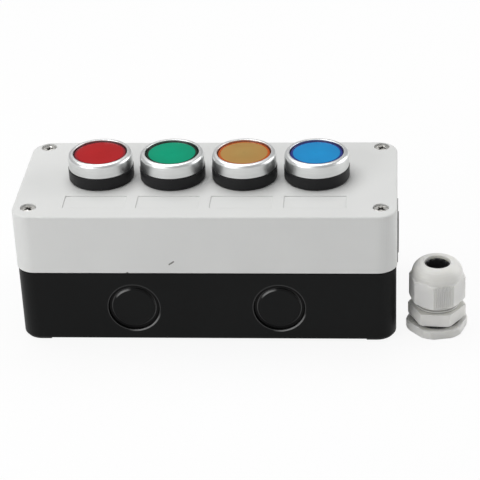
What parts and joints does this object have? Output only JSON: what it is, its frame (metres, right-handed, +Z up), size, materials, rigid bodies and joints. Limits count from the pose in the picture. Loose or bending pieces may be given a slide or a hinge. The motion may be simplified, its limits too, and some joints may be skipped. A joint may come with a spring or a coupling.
{
  "type": "pushbutton control station",
  "caption": "Long two-part plastic enclosure with a row of round illuminated pushbuttons, cable knock-outs and a loose cable gland beside it.",
  "frame": {"origin": "centre of the four wall-mounting holes, on the underside of the feet", "axes": "+X along the box towards the blue button, -Y towards the front, +Z up through the buttons"},
  "size_m": [0.1987, 0.0728, 0.0743],
  "materials": {
    "grey_plastic": "fine matt, moulded",
    "black_plastic": "satin, moulded",
    "gland_nylon": "smooth, moulded",
    "black_rubber": "matt",
    "plated_steel": "plated, smooth",
    "spring_steel": "drawn wire",
    "satin_aluminium": "turned and satin anodised",
    "contact_brass": "stamped",
    "white_plastic": "moulded",
    "green_plastic": "moulded",
    "red_lens": "smooth, translucent",
    "green_lens": "smooth, translucent",
    "amber_lens": "smooth, translucent",
    "blue_lens": "smooth, translucent",
    "red_lamp": "clear, tinted",
    "green_lamp": "clear, tinted",
    "amber_lamp": "clear, tinted",
    "blue_lamp": "clear, tinted"
  },
  "bodies": {
    "station": {"base": "black_plastic", "cover": "grey_plastic", "cover_seal": "black_rubber", "cover_screws": "plated_steel", "ring_nuts": "black_plastic", "terminal_screws": "plated_steel", "red_head": "black_plastic", "red_bezel": "satin_aluminium", "red_gasket": "black_rubber", "red_contact_block": "black_plastic", "red_terminals": "contact_brass", "red_lamp": "red_lamp", "green_head": "black_plastic", "green_bezel": "satin_aluminium", "green_gasket": "black_rubber", "green_contact_block": "black_plastic", "green_terminals": "contact_brass", "green_lamp": "green_lamp", "amber_head": "black_plastic", "amber_bezel": "satin_aluminium", "amber_gasket": "black_rubber", "amber_contact_block": "black_plastic", "amber_terminals": "contact_brass", "amber_lamp": "amber_lamp", "blue_head": "black_plastic", "blue_bezel": "satin_aluminium", "blue_gasket": "black_rubber", "blue_contact_block": "black_plastic", "blue_terminals": "contact_brass", "blue_lamp": "blue_lamp"},
    "red_button": {"red_lens": "red_lens", "red_diffuser": "white_plastic", "red_plunger": "white_plastic", "red_spring": "spring_steel", "red_contact_slider": "green_plastic", "red_contact_bridge": "contact_brass"},
    "green_button": {"green_lens": "green_lens", "green_diffuser": "white_plastic", "green_plunger": "white_plastic", "green_spring": "spring_steel", "green_contact_slider": "green_plastic", "green_contact_bridge": "contact_brass"},
    "amber_button": {"amber_lens": "amber_lens", "amber_diffuser": "white_plastic", "amber_plunger": "white_plastic", "amber_spring": "spring_steel", "amber_contact_slider": "green_plastic", "amber_contact_bridge": "contact_brass"},
    "blue_button": {"blue_lens": "blue_lens", "blue_diffuser": "white_plastic", "blue_plunger": "white_plastic", "blue_spring": "spring_steel", "blue_contact_slider": "green_plastic", "blue_contact_bridge": "contact_brass"},
    "gland": {"gland_body": "gland_nylon"},
    "gland_seal": {"gland_seal": "black_rubber"},
    "gland_cap_nut": {"gland_cap_nut": "gland_nylon"},
    "gland_washer": {"gland_washer": "black_rubber"},
    "gland_locknut": {"gland_locknut": "gland_nylon"}
  },
  "joints": [
    {"name": "red_press", "type": "slide", "parent": "station", "child": "red_button", "axis": [0, 0, -1], "range_m": [0, 0.004], "stiffness_N_per_m": 700, "springref_m": -0.004, "deforming": ["red_spring"]},
    {"name": "green_press", "type": "slide", "parent": "station", "child": "green_button", "axis": [0, 0, -1], "range_m": [0, 0.004], "stiffness_N_per_m": 700, "springref_m": -0.004, "deforming": ["green_spring"]},
    {"name": "amber_press", "type": "slide", "parent": "station", "child": "amber_button", "axis": [0, 0, -1], "range_m": [0, 0.004], "stiffness_N_per_m": 700, "springref_m": -0.004, "deforming": ["amber_spring"]},
    {"name": "blue_press", "type": "slide", "parent": "station", "child": "blue_button", "axis": [0, 0, -1], "range_m": [0, 0.004], "stiffness_N_per_m": 700, "springref_m": -0.004, "deforming": ["blue_spring"]},
    {"name": "gland_lift", "type": "slide", "parent": "station", "child": "gland", "axis": [0, 0, 1], "range_m": [0, 0.1]},
    {"name": "gland_seal_slide", "type": "slide", "parent": "gland", "child": "gland_seal", "axis": [0, 0, 1], "range_m": [-0.0025, 0.0057]},
    {"name": "gland_cap_nut_turn", "type": "hinge", "parent": "gland_seal", "child": "gland_cap_nut", "pos_m": [0.101, -0.0218, 0.025], "axis": [0, 0, 1], "range_deg": [-630, 1440]},
    {"name": "gland_washer_slide", "type": "slide", "parent": "gland", "child": "gland_washer", "axis": [0, 0, 1], "range_m": [-0.0037, 0.0005]},
    {"name": "gland_locknut_turn", "type": "hinge", "parent": "gland_washer", "child": "gland_locknut", "pos_m": [0.101, -0.0218, 0.002], "axis": [0, 0, 1], "range_deg": [-900, 120]}
  ],
  "couplings": [
    {"joint": "gland_seal_slide", "follows": "gland_cap_nut_turn", "m_per_rad": 0.00022441},
    {"joint": "gland_washer_slide", "follows": "gland_locknut_turn", "m_per_rad": 0.00022441}
  ]
}
